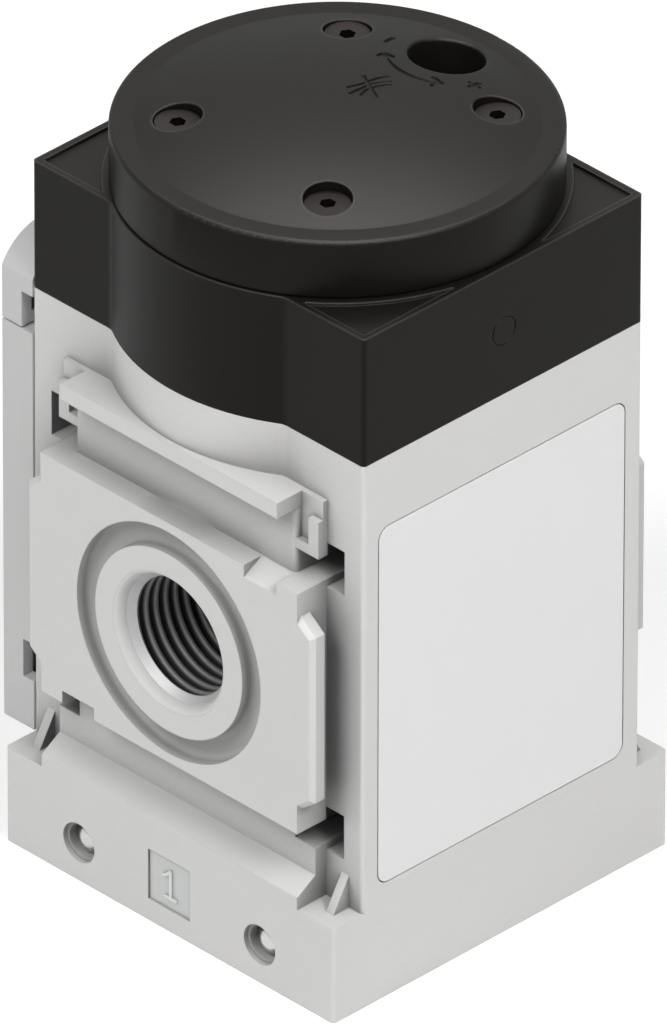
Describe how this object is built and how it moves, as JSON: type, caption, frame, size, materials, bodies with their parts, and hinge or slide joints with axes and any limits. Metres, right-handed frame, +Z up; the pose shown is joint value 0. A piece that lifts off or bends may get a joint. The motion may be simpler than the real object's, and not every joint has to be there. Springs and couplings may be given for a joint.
{
  "type": "pneumatic soft-start valve",
  "caption": "Square inline soft-start valve module for compressed air, with a round screwed top, an adjusting screw, threaded ports and grooves that clamp it to its neighbours.",
  "frame": {"origin": "middle of the base's flat underside", "axes": "+Z up along the piston's axis, +Y along the air's way from inlet to outlet, +X out of the face with the label panel"},
  "size_m": [0.0678, 0.062, 0.1158],
  "materials": {
    "cast_body": "fine matt grey coating on a die casting",
    "cap_plastic": "fine-grained black moulding",
    "cover_plastic": "fine-grained light grey moulding",
    "label_film": "smooth pale grey insert",
    "number_film": "smooth grey insert",
    "black_steel": "blackened",
    "bright_steel": "turned bright",
    "spring_steel": "drawn wire",
    "turned_aluminium": "turned",
    "turned_brass": "turned",
    "piston_plastic": "smooth acetal",
    "band_plastic": "smooth filled fluoropolymer",
    "seal_rubber": "smooth"
  },
  "bodies": {
    "valve_body": {"housing": "cast_body", "cap": "cap_plastic", "cover_screws": "black_steel", "duct_plugs": "bright_steel", "duct_seals": "seal_rubber", "label_plate": "label_film", "inlet_number_plate": "number_film", "outlet_number_plate": "number_film", "rear_cover": "cover_plastic", "rear_cover_top": "cover_plastic", "stem_guide": "turned_aluminium", "guide_oring": "seal_rubber", "stem_oring": "seal_rubber", "bottom_plug": "turned_aluminium", "plug_oring": "seal_rubber", "poppet_spring": "spring_steel"},
    "main_piston": {"piston": "piston_plastic", "piston_seal": "seal_rubber", "piston_band": "band_plastic", "piston_nut": "bright_steel", "stem": "bright_steel", "poppet": "turned_brass", "poppet_seal": "seal_rubber", "poppet_nut": "bright_steel"},
    "needle_carrier": {"throttle_needle": "turned_brass", "throttle_oring": "seal_rubber", "throttle_clip": "spring_steel"},
    "adjusting_screw": {"throttle_screw": "turned_brass"}
  },
  "joints": [
    {"name": "piston_slide", "type": "slide", "parent": "valve_body", "child": "main_piston", "axis": [0, 0, -1], "range_m": [0, 0.005], "stiffness_N_per_m": 2000, "springref_m": -0.0075, "deforming": ["poppet_spring"]},
    {"name": "throttle_lift", "type": "slide", "parent": "valve_body", "child": "needle_carrier", "axis": [0, 0, 1], "range_m": [0, 0.00375]},
    {"name": "throttle_turn", "type": "hinge", "parent": "needle_carrier", "child": "adjusting_screw", "pos_m": [0, 0.02005, 0.1], "axis": [0, 0, 1], "range_deg": [0, 1820]}
  ],
  "couplings": [
    {"joint": "throttle_turn", "follows": "throttle_lift", "rad_per_m": 8377.6}
  ]
}
